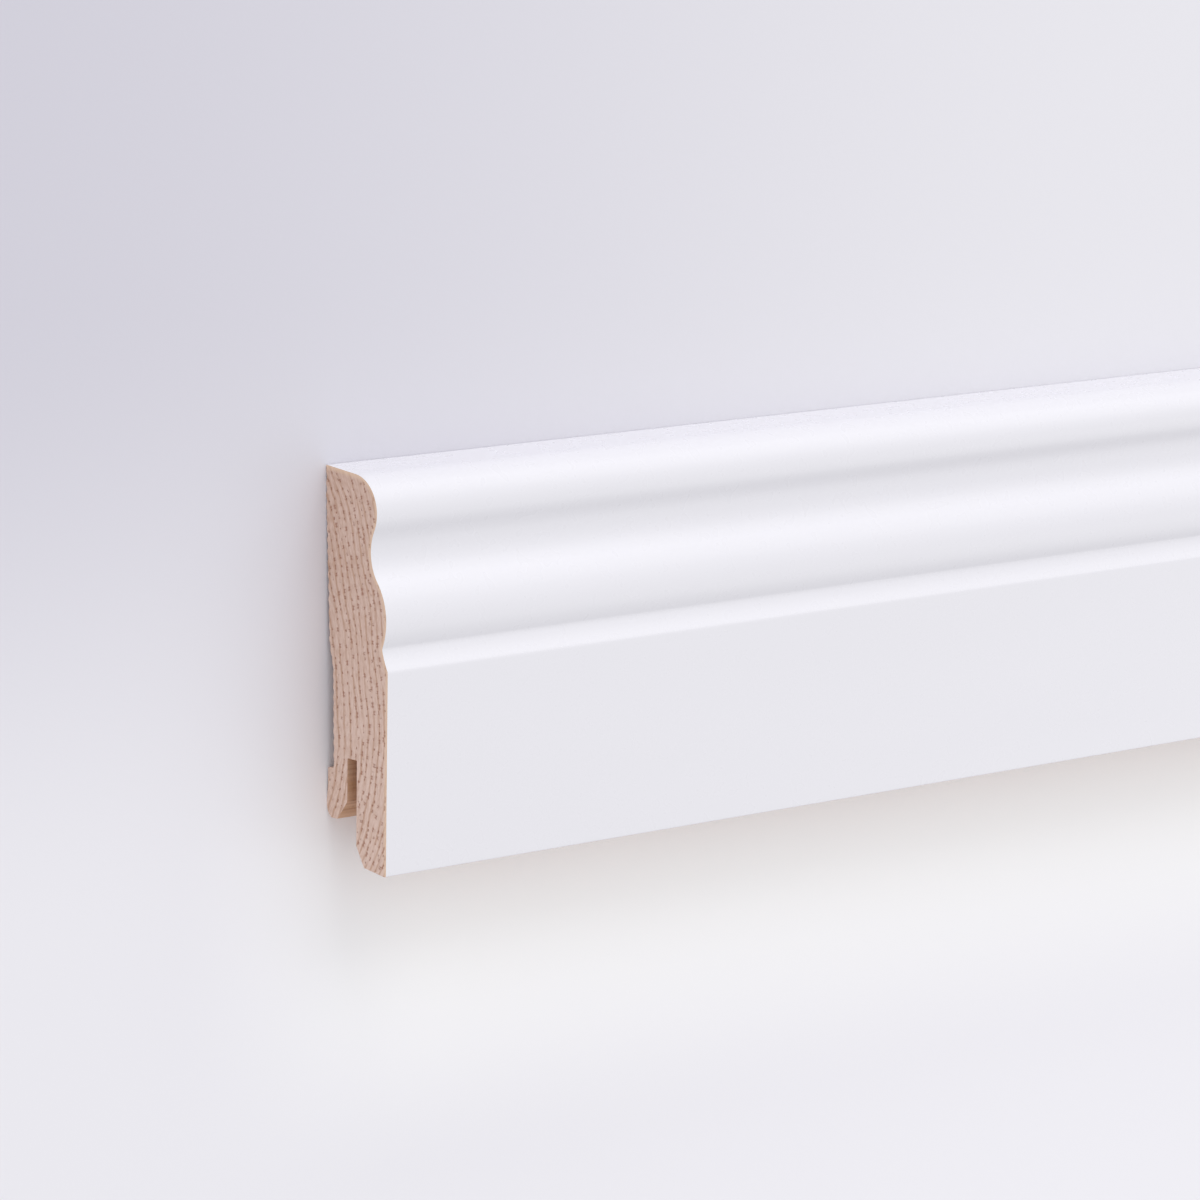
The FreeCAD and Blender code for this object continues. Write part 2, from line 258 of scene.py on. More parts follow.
def walk_section(size, step):
    """Walks once round the section: over the top and down the face, under the foot and up the back.

    Each run is a straight line or an arc between two points worked out from the sizes, and neighbouring
    arcs touch without a kink. Returns points as height above the foot and depth from the wall plane, the
    finish of each, and the corners whose arrises are eased.
    """
    height, face = size.board_height, size.board_thickness
    fall = (-math.sin(size.top_fall), math.cos(size.top_fall))
    up = (fall[1], -fall[0])

    belly = (height - size.belly_drop, face - size.belly_setback - size.belly_radius)
    cove_height = height - size.cove_drop
    cove_reach = size.cove_radius + size.belly_radius
    cove = (cove_height, belly[1] + math.sqrt(cove_reach**2 - (cove_height - belly[0]) ** 2))
    valley_height = height - size.valley_drop
    valley_reach = size.valley_radius + size.belly_radius
    valley = (valley_height, belly[1] + math.sqrt(valley_reach**2 - (valley_height - belly[0]) ** 2))
    flat_start = (height - size.flat_drop, face)
    hollow = circles_meet(valley, size.hollow_radius - size.valley_radius, flat_start, size.hollow_radius)[1]

    # The nose's centre lies one radius under the top, as far along it as lets the nose touch the cove.
    under = (height - size.nose_radius * up[0], -size.nose_radius * up[1])
    to_cove = (cove[0] - under[0], cove[1] - under[1])
    along = to_cove[0] * fall[0] + to_cove[1] * fall[1]
    off = to_cove[0] ** 2 + to_cove[1] ** 2 - along**2
    run = along - math.sqrt((size.nose_radius + size.cove_radius) ** 2 - off)
    nose = (under[0] + run * fall[0], under[1] + run * fall[1])

    nose_start = (nose[0] + size.nose_radius * up[0], nose[1] + size.nose_radius * up[1])
    nose_end = towards(nose, cove, size.nose_radius)
    cove_end = towards(belly, cove, size.belly_radius)
    belly_end = towards(belly, valley, size.belly_radius)
    valley_end = towards(hollow, valley, size.hollow_radius)

    leg_back = face - size.leg_thickness
    groove_back = leg_back - size.groove_width
    mouth_back = groove_back - size.mouth_width
    mouth_top = size.lip_under_height + size.mouth_height
    foot_back = leg_back + size.foot_chamfer_width
    foot_rise = (face - foot_back) * math.tan(size.foot_undercut)

    crown = (size.lip_crown_height, size.lip_crown_setback + size.lip_crown_radius)
    waist = (size.lip_waist_height, size.lip_waist_setback)
    crown_reach = math.sqrt(across(waist, crown) ** 2 - size.lip_crown_radius**2)
    crown_end = circles_meet(waist, crown_reach, crown, size.lip_crown_radius)[0]
    under_back = crown[1] - math.sqrt(size.lip_crown_radius**2 - (crown[0] - size.lip_under_height) ** 2)

    land_end = height - size.land_width
    shoulder_depth = (land_end - size.shoulder_height) * math.tan(size.land_taper)
    relief_top = size.shoulder_height - size.shoulder_run
    step_depth = size.relief_depth + (relief_top - size.lip_step_height) * math.tan(size.relief_taper)

    corners = [
        (PLANED, (0, face)),
        (PLANED, (foot_rise, foot_back)),
        (PLANED, (size.foot_chamfer_height, leg_back)),
        (SAWN_AND_SHADE, (size.lip_under_height, leg_back)),
        (SAWN_AND_SHADE, (size.groove_height, leg_back)),
        (SAWN_AND_SHADE, (size.groove_height, groove_back)),
        # Painted shade: the slope that opens the groove takes the groove's darker, browner finish.
        (SAWN_AND_SHADE, (mouth_top, groove_back)),
        (PLANED, (size.lip_under_height, mouth_back)),
        (PLANED, (size.lip_under_height, under_back)),
    ]
    back = [
        crown_end,
        waist,
        (size.lip_step_height, size.lip_waist_setback),
        (size.lip_step_height, step_depth),
        (relief_top, size.relief_depth),
        (size.shoulder_height, shoulder_depth),
        (land_end, 0),
        (height, 0),
    ]
    runs = [
        (LACQUER, straight((height, 0), nose_start, step)),
        (LACQUER, swept(nose, nose_start, nose_end, step)),
        (LACQUER, swept(cove, nose_end, cove_end, step)),
        (LACQUER, swept(belly, cove_end, belly_end, step)),
        (LACQUER, swept(valley, belly_end, valley_end, step)),
        (LACQUER, swept(hollow, valley_end, flat_start, step)),
        (LACQUER, straight(flat_start, (0, face), step)),
    ]
    runs += [(finish, straight(start, end, step)) for (finish, start), (_, end) in zip(corners, corners[1:])]
    runs += [(PLANED, swept(crown, corners[-1][1], crown_end, step))]
    runs += [(PLANED, straight(start, end, step)) for start, end in zip(back, back[1:])]

    points = np.concatenate([run_points for _, run_points in runs])
    finish = np.repeat([run_finish for run_finish, _ in runs], [len(run_points) for _, run_points in runs])
    # The lacquer wraps a little way round the back top edge.
    finish[points[:, 0] > height - size.lacquer_wrap] = LACQUER
    return points, finish, np.array([flat_start, (0, face), back[2]])


def rib_the_back(points, finish, size):
    """Cuts the fine lengthwise ribs: depth grows by a raised cosine of the height, deeper here and there.

    They cover the back from the relief up to the land, on what faces the wall.
    """
    height, depth = points.T
    on_back = depth < size.relief_depth + 0.6 * MM
    above_lip = height > size.lip_step_height + 0.4 * MM
    ribbed = (finish == PLANED) & on_back & above_lip
    # Two slow waves make some ribs deeper, a third varies their pitch, and they end under the top edge.
    slow = 0.5 + 0.5 * np.sin(height / (2.7 * MM)) * np.sin(height / (4.1 * MM) + 1)
    wave = 0.5 - 0.5 * np.cos(2 * math.pi * height / size.rib_pitch + 1.2 * np.sin(height / (5.3 * MM)))
    fade = np.clip((size.board_height - height) / (1.5 * MM), 0, 1)
    cut = size.rib_depth * (0.45 + 0.55 * slow) * wave * fade
    return np.stack([height, depth + np.where(ribbed, cut, 0)], axis=1)


def ease_arrises(points, eased, size, step):
    """Rounds every corner by a Gaussian average of its neighbours along the outline.

    An average of width s rounds a square corner about as an arc of radius s / 0.73 does, so the eased
    corners take a wider average than the others, and the two blend within a millimetre.
    """
    turns = np.fft.fftfreq(len(points), d=step)
    spectrum = np.fft.fft(points[:, 0] + 1j * points[:, 1])

    def averaged(radius):
        return np.fft.ifft(spectrum * np.exp(-2 * (math.pi * 0.73 * radius * turns) ** 2))

    gaps = np.abs((points[:, 0] + 1j * points[:, 1])[:, None] - (eased[:, 0] + 1j * eased[:, 1])[None, :])
    near = np.exp(-((gaps.min(axis=1) / (1.2 * MM)) ** 2))
    blended = averaged(size.arris_radius) * near + averaged(size.sharp_arris_radius) * (1 - near)
    return np.stack([blended.real, blended.imag], axis=1)


def thin_outline(points, finish, longest, sharpest):
    """Keeps as many points as the outline needs: one for each longest run or sharpest turn used up."""
    ahead = np.roll(points, -1, axis=0) - points
    heading = np.arctan2(ahead[:, 1], ahead[:, 0])
    turn = np.abs(np.angle(np.exp(1j * (heading - np.roll(heading, 1)))))
    used = np.concatenate([[0], np.cumsum(np.hypot(*ahead.T) / longest + turn / sharpest)])
    marks = np.linspace(0, used[-1], math.ceil(used[-1]), endpoint=False)
    kept = np.unique(np.searchsorted(used, marks, side="right") - 1)
    return points[kept], finish[kept]


def lay_down(points, size):
    """Turns the upright section by the resting lean and sets it on the floor, as Y and Z."""
    cos, sin = math.cos(size.resting_lean), math.sin(size.resting_lean)
    height, depth = points.T
    along = height * cos - depth * sin + size.resting_along
    above = height * sin + depth * cos + size.resting_above
    # Rounded values could take a point a hair past the CAD box.
    return np.stack([along, above], axis=1).clip(cad_low.yz, cad_high.yz)


# The rings and pores of the sawn ends

def ring_sway(points, look):
    """How far the growth rings lie off their circles.

    Slow waves in height and depth push them to and fro, and below a height they lean over towards the
    wall, by a share of the squared distance below it.
    """
    height, depth = points.T / MM
    waves = 0.34 * np.sin(height / 7.3 + 1.0) + 0.22 * np.sin(height / 3.9 - depth / 5.1)
    waves = waves + 0.12 * np.sin(height / 1.9 + depth / 2.3 + 2.0)
    below = np.clip(look.ring_lean_height - points[:, 0], 0, None)
    return waves * MM + look.ring_lean * below**2


def ring_number(points, look):
    """Growth rings counted outwards from the wall plane.

    Rings are circles round the pith. Their width shrinks evenly with the distance from it, so their
    number is the logarithm of that width's share, divided by how fast it shrinks.
    """
    height, depth = points.T
    from_pith = np.hypot(height - look.pith_height, depth + look.pith_behind) + ring_sway(points, look)
    shrink = (look.ring_front - look.ring_back) / look.ring_reach
    return np.log1p(shrink * (from_pith - look.pith_behind) / look.ring_back) / shrink


def scatter_pores(look, random):
    """Sets pores in rows along the growth rings, larger and closer where the rings are narrow.

    A pore's place is its ring's radius and a distance walked round it, both a little off. Returns
    places in the section, the rows' directions, and half lengths and half widths.
    """
    shrink = (look.ring_front - look.ring_back) / look.ring_reach
    # The rows curve, so more of them than fit side by side cross the section. What lies outside is dropped.
    rows = np.arange(-2, 34)
    pores_in_row = 110
    start_below_pith = 66 * MM
    radius = look.pith_behind + look.ring_back * np.expm1(shrink * rows) / shrink
    steps = np.cumsum(random.uniform(0.62, 1.38, (len(rows), pores_in_row)) * look.pore_step, axis=1)
    steps = steps - start_below_pith
    # Pores stand closer, and longer, where the rings are narrow: from 8 mm in front of the wall plane on,
    # and most of all from 20 mm.
    narrow = np.clip((radius - look.pith_behind - 8 * MM) / (12 * MM), 0, 1)[:, None]
    steps = steps * (1 - 0.28 * narrow)
    # About one pore in eight is a small late one, off its row.
    late = random.random(steps.shape) < 0.12
    off = random.normal(0, 0.09, steps.shape) + np.where(late, random.uniform(0.2, 0.5, steps.shape), 0)
    reach = radius[:, None] + off * look.ring_back
    turn = steps / radius[:, None]
    upward = look.pith_height + reach * np.sin(turn)
    outward = reach * np.cos(turn) - look.pith_behind
    on_circle = np.stack([upward, outward], axis=-1).reshape(-1, 2)
    place = on_circle.copy()
    # The sway depends on the place that it moves, so it is found in a few rounds.
    for _ in range(4):
        place[:, 1] = on_circle[:, 1] - ring_sway(place, look)
    ahead = place + (0.1 * MM, 0)
    lean = (ring_sway(ahead, look) - ring_sway(place, look)) / (0.1 * MM)
    way = np.stack([np.ones(len(place)), -np.tan(turn).ravel() - lean], axis=1)
    way /= np.hypot(*way.T)[:, None]
    small = np.where(late, 0.55, 1).ravel()
    stretch = (1 + 0.5 * narrow * np.ones_like(steps)).ravel()
    half_length = look.pore_length * random.lognormal(0, 0.38, len(place)) * small * stretch
    half_width = look.pore_width * random.lognormal(0, 0.2, len(place)) * small / np.sqrt(stretch)
    return place, way, half_length, np.minimum(half_width, half_length)


def inside(points, outline):
    """Which points lie inside a closed outline: those that an odd number of its edges pass on one side."""
    after = np.roll(outline, -1, axis=0)
    within = np.zeros(len(points), bool)
    for start in range(0, len(points), AT_ONCE):
        part = points[start : start + AT_ONCE, None, :]
        above = (outline[:, 1] > part[..., 1]) != (after[:, 1] > part[..., 1])
        rise = np.where(after[:, 1] == outline[:, 1], 1, after[:, 1] - outline[:, 1])
        cross = outline[:, 0] + (part[..., 1] - outline[:, 1]) / rise * (after[:, 0] - outline[:, 0])
        within[start : start + AT_ONCE] = (above & (part[..., 0] < cross)).sum(axis=1) % 2 == 1
    return within


def distance_to(points, marks):
    """The distance from each point to the nearest of many marks."""
    found = np.empty(len(points))
    for start in range(0, len(points), AT_ONCE):
        part = points[start : start + AT_ONCE, None, :] - marks[None, :, :]
        found[start : start + AT_ONCE] = np.sqrt((part**2).sum(axis=2).min(axis=1))
    return found


def fill_sawn_end(outline, dense, dense_finish, look, random):
    """Fills the section with points and triangles for a sawn end.

    Each pore is a centre and two ellipses round it, and a honeycomb of points and two lines beside the
    lacquer fill what lies between. Delaunay triangles join them, since no single grid can follow both
    the moulded outline and the rows of pores. Returns the points past the outline's own, how deep each
    lies in a pore and how near it is to the lacquer, both from 0 to 1, and the triangles.
    """
    place, way, half_length, half_width = scatter_pores(look, random)

    def kept(which):
        """The pores that a mask picks."""
        return [part[which] for part in (place, way, half_length, half_width)]

    # Pores stay clear of the outline.
    marks = dense[::2]
    clear = inside(place, outline) & (distance_to(place, marks) > half_width + 0.09 * MM)
    place, way, half_length, half_width = kept(clear)

    # Of two pores that would run into each other, the later one is dropped.
    gap = place[:, None, :] - place[None, :, :]
    lengthwise = np.abs((gap * way[:, None, :]).sum(axis=2))
    lengthwise = lengthwise / (half_length[:, None] + half_length + 0.1 * MM)
    sideways = np.abs(gap[..., 0] * way[:, None, 1] - gap[..., 1] * way[:, None, 0])
    sideways = sideways / (half_width[:, None] + half_width + 0.08 * MM)
    clash = np.triu(lengthwise**2 + sideways**2 < 1, k=1).any(axis=0)
    place, way, half_length, half_width = kept(~clash)

    # Six points on each ellipse: the inner one bounds the pore's floor, and the outer one is its edge.
    around = np.linspace(0, 2 * math.pi, 7)[:-1]
    side = np.stack([-way[:, 1], way[:, 0]], axis=1)

    def ellipse(share, turn):
        """Points on every pore's ellipse, shrunk to a share and turned by an angle."""
        return (
            place[:, None, :]
            + share * half_length[:, None, None] * np.cos(around + turn)[None, :, None] * way[:, None, :]
            + share * half_width[:, None, None] * np.sin(around + turn)[None, :, None] * side[:, None, :]
        )

    floor_ring, edge_ring = ellipse(0.62, 0.0), ellipse(1.0, math.pi / 6)
    edge_ok = distance_to(edge_ring.reshape(-1, 2), marks).reshape(-1, 6).min(axis=1) > 0.06 * MM
    edge_ok &= inside(edge_ring.reshape(-1, 2), outline).reshape(-1, 6).all(axis=1)
    place, way, half_length, half_width = kept(edge_ok)
    side = side[edge_ok]
    floor_ring, edge_ring = floor_ring[edge_ok].reshape(-1, 2), edge_ring[edge_ok].reshape(-1, 2)

    # The honeycomb: every other column is half a cell higher, and each point is a little off its place.
    cell = 0.8 * MM
    low, high = outline.min(axis=0), outline.max(axis=0)
    rows, columns = np.meshgrid(
        np.arange(low[0], high[0], cell), np.arange(low[1], high[1], cell * 0.866), indexing="ij"
    )
    rows = rows + (np.arange(rows.shape[1]) % 2) * cell / 2
    comb = np.stack([rows, columns], axis=-1).reshape(-1, 2)
    comb = comb + random.uniform(-0.1, 0.1, comb.shape) * MM

    # The two lines beside the lacquer
    lacquered = dense[dense_finish == LACQUER]
    ahead = np.roll(dense, -1, axis=0) - np.roll(dense, 1, axis=0)
    inward = np.stack([-ahead[:, 1], ahead[:, 0]], axis=1) / np.hypot(*ahead.T)[:, None]
    picked = np.flatnonzero(dense_finish == LACQUER)[::8]
    beside = np.concatenate([dense[picked] + inward[picked] * inset for inset in (0.3 * MM, 1.0 * MM)])

    # These points keep off the outline and out of the pores.
    loose = np.concatenate([comb, beside])
    loose = loose[inside(loose, outline)]
    loose = loose[distance_to(loose, marks) > 0.2 * MM]
    apart = loose[:, None, :] - place[None, :, :]
    lengthwise = (apart * way).sum(axis=2) / (half_length + 0.07 * MM)
    sideways = (apart * side).sum(axis=2) / (half_width + 0.07 * MM)
    loose = loose[(lengthwise**2 + sideways**2).min(axis=1) > 1]

    filling = np.concatenate([place, floor_ring, edge_ring, loose])
    level = np.zeros(len(edge_ring) + len(loose))
    sunk = np.concatenate([np.ones(len(place)), np.full(len(floor_ring), 0.85), level])
    given = np.concatenate([outline, filling]) / MM
    edges = np.stack([np.arange(len(outline)), np.roll(np.arange(len(outline)), -1)], axis=1)
    made = delaunay_2d_cdt([Vector(point) for point in given.tolist()], edges.tolist(), [], 1, 1e-6)
    # The triangles come with points of their own, each with a list of the given points that it stands for.
    source = np.array([came_from[0] if came_from else -1 for came_from in made[3]])
    triangles = source[np.array([face for face in made[2] if len(face) == 3])]
    # The rim is whole within 0.3 mm of the lacquer and gone from 1.05 mm on.
    rim = 1 - np.clip((distance_to(filling, lacquered[::4]) - 0.3 * MM) / (0.75 * MM), 0, 1)
    return filling, sunk, rim, triangles[(triangles >= 0).all(axis=1)]


def board_mesh(size, look):
    """Carries the section's outline along the board's length and closes it with two sawn ends.

    The walls are a grid: the outline's points across, and stations along X that lie closer together
    near the ends. The mesh gets the ring number, the depth in a pore and the nearness of the lacquer
    as attributes, and a map for baking that gives the two ends half of the picture.
    """
    step = 0.05 * MM
    points, finish, eased = walk_section(size, step)
    points = ease_arrises(rib_the_back(points, finish, size), eased, size, step)
    outline, outline_finish = thin_outline(points, finish, longest=0.7 * MM, sharpest=math.radians(8))
    count = len(outline)

    from_end = np.array([0, 0.5, 2, 8, 30, 100, 300, 700]) * MM
    stations = np.concatenate([cad_low.x + from_end, [0], (cad_high.x - from_end)[::-1]])
    laid = lay_down(outline, size)
    walls = np.empty((len(stations), count, 3))
    walls[:, :, 0] = stations[:, None]
    walls[:, :, 1:] = laid

    first = (np.arange(len(stations) - 1) * count)[:, None] + np.arange(count)
    after = (np.arange(len(stations) - 1) * count)[:, None] + (np.arange(count) + 1) % count
    quads = np.stack([first, after, after + count, first + count], axis=-1).reshape(-1, 4)

    # The map: the walls fill the left half of the picture but for its margins. Lacquer takes a narrow
    # strip, as it is plain, and bare wood a wider one.
    wall_share, margin = 0.475, 0.005
    run = np.hypot(*(np.roll(outline, -1, axis=0) - outline).T)
    run = run * np.where(outline_finish == LACQUER, 0.3, 1)
    strip = np.concatenate([[0], np.cumsum(run)]) / run.sum() * wall_share + margin
    upward = (stations - cad_low.x) / (cad_high.x - cad_low.x) * 0.99 + margin
    sides = (strip[:-1], strip[1:], upward[:-1, None], upward[1:, None])
    left, right, lower, upper = np.broadcast_arrays(*sides)
    wall_map = np.stack([left, lower, right, lower, right, upper, left, upper], axis=-1).reshape(-1, 4, 2)

    total = len(stations) * count
    coordinates = [walls.reshape(-1, 3)]
    rings = [np.tile(ring_number(outline, look), len(stations))]
    sunk = [np.zeros(total)]
    rims = [np.tile((outline_finish == LACQUER).astype(float), len(stations))]
    faces = [quads.tolist()]
    face_finish = [np.tile(outline_finish, len(stations) - 1)]
    maps = [wall_map.reshape(-1, 2)]
    # Each end: its place, the way into the board, its first wall point and its left side on the map
    ends = ((cad_low.x, 1, 0, 0.5), (cad_high.x, -1, (len(stations) - 1) * count, 0.755))
    for number, (place, into, ring_start, map_left) in enumerate(ends):
        random = np.random.default_rng(look.seed + number)
        filling, filling_sunk, filling_rim, triangles = fill_sawn_end(outline, points, finish, look, random)
        deep = place + into * filling_sunk * look.pore_depth
        coordinates.append(np.column_stack([deep, lay_down(filling, size)]))
        rings.append(ring_number(filling, look))
        sunk.append(filling_sunk)
        rims.append(filling_rim)
        own = np.concatenate([np.arange(count) + ring_start, np.arange(len(filling)) + total])
        facing = triangles[:, ::-1] if into > 0 else triangles
        faces.append(own[facing].tolist())
        face_finish.append(np.full(len(triangles), END_GRAIN))
        # At 12 pictures to the metre, 80 mm of height take 0.96 of the picture's.
        flat = np.concatenate([outline, filling]) * 12 + (0.01, map_left)
        maps.append(flat[facing].reshape(-1, 2)[:, ::-1])
        total += len(filling)

    mesh = bpy.data.meshes.new(BOARD_PIECE)
    mesh.from_pydata(np.concatenate(coordinates).tolist(), [], [face for part in faces for face in part])
    mesh.polygons.foreach_set("material_index", np.concatenate(face_finish).astype(np.int32))
    for name, values in (("growth_ring", rings), ("open_pore", sunk), ("under_lacquer", rims)):
        mesh.attributes.new(name, "FLOAT", "POINT").data.foreach_set("value", np.concatenate(values))
    bake_map = mesh.uv_layers.new(name="OFBake")
    bake_map.uv.foreach_set("vector", np.concatenate(maps).ravel())

    mesh.shade_smooth()
    ends_on = np.zeros(len(mesh.vertices), bool)
    ends_on[:count] = True
    ends_on[(len(stations) - 1) * count : len(stations) * count] = True
    edge_ends = np.empty(len(mesh.edges) * 2, np.int32)
    mesh.edges.foreach_get("vertices", edge_ends)
    on_rim = ends_on[edge_ends.reshape(-1, 2)].all(axis=1)
    mesh.attributes.new("sharp_edge", "BOOLEAN", "EDGE").data.foreach_set("value", on_rim)
    mesh.validate()
    mesh.update()
    return mesh


# Materials

# Every Map Range node here eases in and out. Its inputs go by number: 0 is the value, 1 and 2 are where
# the change starts and ends, and 3 and 4 are what comes out there, which is 0 and 1 if they aren't given.
EASED = {"interpolation_type": "SMOOTHSTEP"}


def add_node(tree, kind, inputs, **settings):
    """Adds a node to a tree and returns its outputs.

    Settings are its own properties, and inputs go by name or number, as values or as other outputs.
    """
    node = tree.nodes.new(kind)
    for name, value in settings.items():
        setattr(node, name, value)
    for name, value in inputs.items():
        if isinstance(value, bpy.types.NodeSocket):
            tree.links.new(value, node.inputs[name])
        else:
            node.inputs[name].default_value = value
    return node.outputs


def emptied(owner):
    """Takes the nodes out of a material or world, and returns the function that adds new ones to it."""
    owner.use_nodes = True
    owner.node_tree.nodes.clear()
    return partial(add_node, owner.node_tree)


def stretched(add, lengthwise):
    """The object's own coordinates with X divided by lengthwise, so that patterns run along the grain."""
    place = add("ShaderNodeTexCoord", {})["Object"]
    return add("ShaderNodeMapping", {"Vector": place, "Scale": (1 / lengthwise, 1, 1)})["Vector"]


def lumps(add, lengthwise, width, detail=2.0, roughness=0.5):
    """Soft noise whose lumps are about this wide, in metres, and this many times as long lengthwise."""
    place = stretched(add, lengthwise)
    inputs = {"Vector": place, "Scale": 0.5 / width, "Detail": detail, "Roughness": roughness}
    return add("ShaderNodeTexNoise", inputs)["Fac"]


def summed(add, total, *parts):
    """A number to which patterns are added, each times its weight."""
    for pattern, weight in parts:
        total = add("ShaderNodeMath", {0: pattern, 1: weight, 2: total}, operation="MULTIPLY_ADD")[0]
    return total


def layered(add, tone, *layers):
    """A colour with others laid over it in turn, each by its own share, on the node's colour sockets."""
    for share, other in layers:
        tone = add("ShaderNodeMix", {0: share, 6: tone, 7: other}, data_type="RGBA")[2]
    return tone


def surface(add, tone, roughness, ior, relief, depth):
    """The shader with its colour and roughness and a relief of this depth, joined to the output."""
    bump = add("ShaderNodeBump", {"Height": relief, "Distance": depth, "Strength": 1.0})["Normal"]
    inputs = {"Base Color": tone, "Roughness": roughness, "IOR": ior, "Normal": bump}
    shader = add("ShaderNodeBsdfPrincipled", inputs)["BSDF"]
    add("ShaderNodeOutputMaterial", {"Surface": shader})


def satin_lacquer(look):
    """Spray lacquer on hardwood: a smooth satin white, with a faint skin and the cutter's lines under it."""
    material = bpy.data.materials.new("satin_white_lacquer")
    add = emptied(material)
    # Lines that the moulding cutter leaves lengthwise, about 0.7 mm apart
    lines = lumps(add, 60, 0.35 * MM, detail=3)
    # The skin of sprayed lacquer, about 3 mm from lump to lump
    skin = lumps(add, 1, 1.5 * MM, detail=1)
    rough = add("ShaderNodeMapRange", {0: skin, 1: 0.25, 2: 0.75, 3: 0.27, 4: 0.29}, **EASED)[0]
    # Clouds in which the coat is a hundredth darker
    clouds = lumps(add, 6, 14 * MM)
    clear = add("ShaderNodeMapRange", {0: clouds, 1: 0.3, 2: 0.7}, **EASED)[0]
    dull = (*(0.99 * channel for channel in look.lacquer[:3]), 1.0)
    tone = layered(add, dull, (clear, look.lacquer))
    relief = summed(add, 0.0, (lines, 0.45), (skin, 0.55))
    surface(add, tone, rough, ior=1.5, relief=relief, depth=0.0015 * MM)
    return material


def wood_grain(add, look):
    """Lengthwise grain for cut faces: bands by ring number, fibres, and open pores as thin dark dashes.

    Returns the colour, the relief and the fibres.
    """
    fibres = lumps(add, 70, 0.22 * MM, detail=3, roughness=0.6)
    # The ring number drifts along the board, so that the bands wander.
    drift = lumps(add, 25, 7 * MM)
    ring = add("ShaderNodeAttribute", {}, attribute_name="growth_ring")["Fac"]
    ring = summed(add, ring, (drift, 1.6))
    # Browner wood beside each row of pores, where the ring number is whole
    off_row = add("ShaderNodeMath", {0: ring, 1: 0.5}, operation="PINGPONG")[0]
    early = add("ShaderNodeMapRange", {0: off_row, 1: 0.28, 2: 0.02}, **EASED)[0]
    # One pore in each cell 0.95 mm wide, a longer and wider dash beside a row
    cells = add("ShaderNodeTexVoronoi", {"Vector": stretched(add, 34), "Scale": 1 / (0.95 * MM)})["Distance"]
    reach = add("ShaderNodeMapRange", {0: early, 3: 0.10, 4: 0.27}, **EASED)[0]
    outside = summed(add, cells, (reach, -1.0))
    open_pore = add("ShaderNodeMapRange", {0: outside, 1: 0.03, 2: -0.05}, **EASED)[0]
    dark = summed(add, 0.0, (open_pore, 0.6))
    deep = summed(add, 0.0, (early, 0.5), (fibres, 0.6))
    deep = add("ShaderNodeMapRange", {0: deep, 1: 0.15, 2: 0.85}, **EASED)[0]
    wood = layered(add, look.wood_pale, (deep, look.wood_deep), (dark, look.pore))
    return wood, summed(add, 0.0, (fibres, 0.5), (open_pore, -0.8)), fibres


def planed_hardwood(look):
    """Hardwood straight from the planer: dry and matt, with fibres, pore dashes and faint knife marks."""
    material = bpy.data.materials.new("planed_hardwood")
    add = emptied(material)
    wood, relief, fibres = wood_grain(add, look)
    # Knife marks cross the board 2.1 mm apart: at scale 1 the node draws 20 / (2 pi) bands to the metre.
    mark_pitch = 2.1 * MM
    inputs = {
        "Vector": add("ShaderNodeTexCoord", {})["Object"],
        "Scale": 2 * math.pi / (20 * mark_pitch),
        "Distortion": 1.2,
        "Detail": 1.0,
        "Detail Scale": 0.4,
    }
    marks = add("ShaderNodeTexWave", inputs, wave_type="BANDS", bands_direction="X")["Fac"]
    relief = summed(add, relief, (marks, 0.12))
    rough = add("ShaderNodeMapRange", {0: fibres, 1: 0.3, 2: 0.7, 3: 0.66, 4: 0.8}, **EASED)[0]
    surface(add, wood, rough, ior=1.5, relief=relief, depth=0.05 * MM)
    return material


def sawn_groove_and_mouth_shade(look):
    """Hardwood inside the sawn groove, browned by the blade and scored lengthwise, and painted shade on the
    slope that opens the groove.
    """
    material = bpy.data.materials.new("sawn_groove_and_mouth_shade")
    add = emptied(material)
    wood, relief, fibres = wood_grain(add, look)
    # Scores of the saw's teeth along the groove, about 0.6 mm apart
    scores = lumps(add, 40, 0.3 * MM)
    dark = add("ShaderNodeMapRange", {0: scores, 1: 0.45, 2: 0.75, 4: 0.45}, **EASED)[0]
    wood = layered(add, wood, (0.75, look.groove), (dark, look.pore))
    relief = summed(add, relief, (scores, 1.0))
    rough = add("ShaderNodeMapRange", {0: fibres, 1: 0.3, 2: 0.7, 3: 0.74, 4: 0.88}, **EASED)[0]
    surface(add, wood, rough, ior=1.5, relief=relief, depth=0.08 * MM)
    return material


